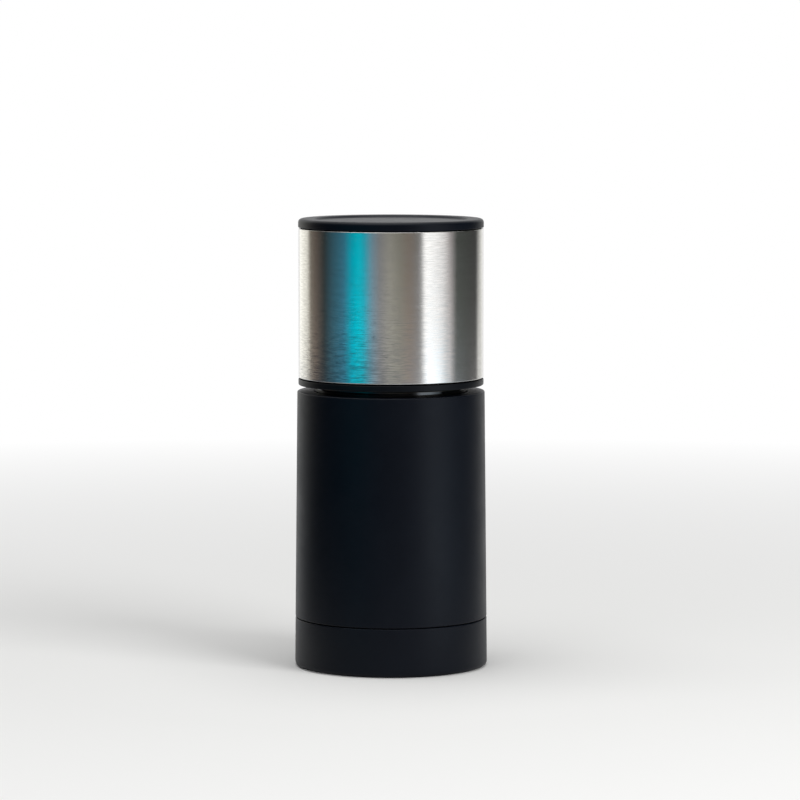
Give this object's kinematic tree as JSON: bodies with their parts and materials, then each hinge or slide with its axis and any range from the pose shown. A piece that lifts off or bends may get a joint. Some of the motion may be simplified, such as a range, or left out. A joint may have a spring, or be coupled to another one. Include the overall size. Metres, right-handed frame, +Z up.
{
  "type": "mechanical nutmeg grater",
  "caption": "Upright twist-grip spice mill with a brushed steel grip, a soft black tapered casing, a pull-off cap, and a sprung plunger over an etched blade.",
  "frame": {"origin": "on the table under the middle of the mill, at the plane of the cap's standing ring", "axes": "+Z up along the mill's axis, towards the grip; X and Y across it, with no front"},
  "size_m": [0.0594, 0.0594, 0.138],
  "materials": {
    "soft_black": "soft-touch matte",
    "gloss_black": "polished",
    "plain_black": "moulded",
    "smoke_plastic": "moulded",
    "seal_rubber": "matte",
    "brushed_steel": "brushed round the grip",
    "blade_steel": "etched and polished",
    "spring_steel": "bright",
    "brass": "turned"
  },
  "bodies": {
    "cap": {"bottom_cap": "soft_black"},
    "body": {"body_shell": "soft_black", "base_insert": "plain_black", "cap_seal_ring": "seal_rubber", "spice_chamber": "smoke_plastic", "neck_bush": "gloss_black", "collar_clip": "spring_steel", "grater_blade": "blade_steel", "blade_holder": "plain_black", "blade_screw_1": "spring_steel", "blade_screw_2": "spring_steel", "blade_screw_3": "spring_steel"},
    "collar": {"turning_collar": "soft_black", "grip_seal_ring": "seal_rubber"},
    "grip": {"grip_core": "plain_black", "grip_sleeve": "brushed_steel", "top_cap": "soft_black", "guide_bush": "brass", "bush_screw_1": "spring_steel", "bush_screw_2": "spring_steel", "bush_screw_3": "spring_steel", "plunger_spring": "spring_steel"},
    "plunger": {"plunger_rod": "blade_steel", "pressure_plate": "smoke_plastic", "plate_screw": "spring_steel", "gripping_pin_1": "blade_steel", "gripping_pin_2": "blade_steel", "gripping_pin_3": "blade_steel", "gripping_pin_4": "blade_steel", "stop_washer": "seal_rubber", "stop_clip": "spring_steel"}
  },
  "joints": [
    {"name": "body_lift", "type": "slide", "parent": "cap", "child": "body", "axis": [0, 0, 1], "range_m": [0, 0.03]},
    {"name": "grip_turn", "type": "hinge", "parent": "body", "child": "collar", "pos_m": [0, 0, 0.09], "axis": [0, 0, 1], "continuous": true},
    {"name": "grip_lift", "type": "slide", "parent": "collar", "child": "grip", "axis": [0, 0, 1], "range_m": [0, 0.08]},
    {"name": "plunger_slide", "type": "slide", "parent": "grip", "child": "plunger", "axis": [0, 0, 1], "range_m": [0, 0.026], "stiffness_N_per_m": 600, "springref_m": -0.01, "deforming": ["plunger_spring"]}
  ]
}
